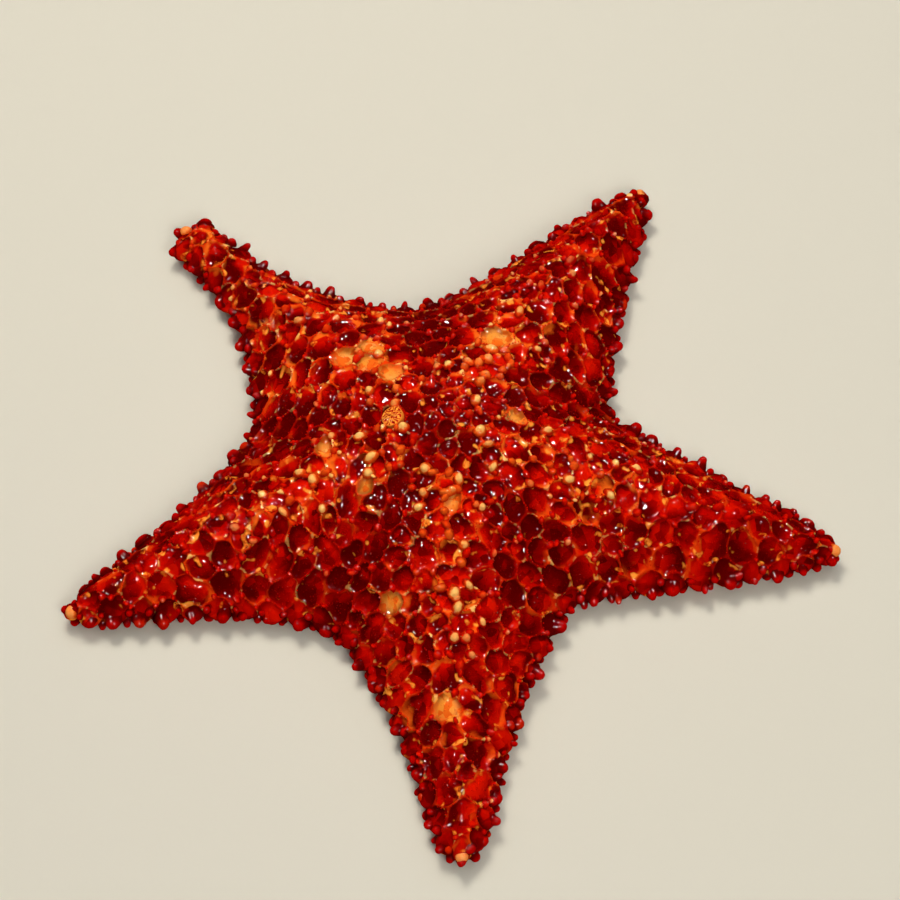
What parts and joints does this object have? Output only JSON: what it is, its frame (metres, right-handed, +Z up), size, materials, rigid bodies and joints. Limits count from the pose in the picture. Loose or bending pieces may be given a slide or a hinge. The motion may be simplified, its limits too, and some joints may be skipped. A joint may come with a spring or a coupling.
{
  "type": "cushion sea star",
  "caption": "Still, life-size red cushion sea star with a domed disc, blunt tapering arms, a net of yellow-tipped tubercles and a grooved underside.",
  "frame": {"origin": "middle of the footprint's box, on the floor the sea star rests on", "axes": "+Z up; the arm named near points along -Y, and the arm named right along +X"},
  "size_m": [0.2422, 0.2325, 0.051],
  "materials": {
    "body_wall": "wet, glossy skin over limy plates: maroon pits, red to orange ridges, yellow-orange tubercles",
    "sieve_plate": "tan limy plate with fine brain-like grooves",
    "jaws": "pale limy plates with short blunt spines",
    "eyespot": "glossy bright red cushion"
  },
  "bodies": {
    "root": {"disc": "body_wall", "arm_far_left": "body_wall", "arm_far_right": "body_wall", "arm_right": "body_wall", "arm_near": "body_wall", "arm_left": "body_wall", "madreporite": "sieve_plate", "mouth_frame": "jaws", "eyespot_far_left": "eyespot", "eyespot_far_right": "eyespot", "eyespot_right": "eyespot", "eyespot_near": "eyespot", "eyespot_left": "eyespot"}
  },
  "joints": []
}
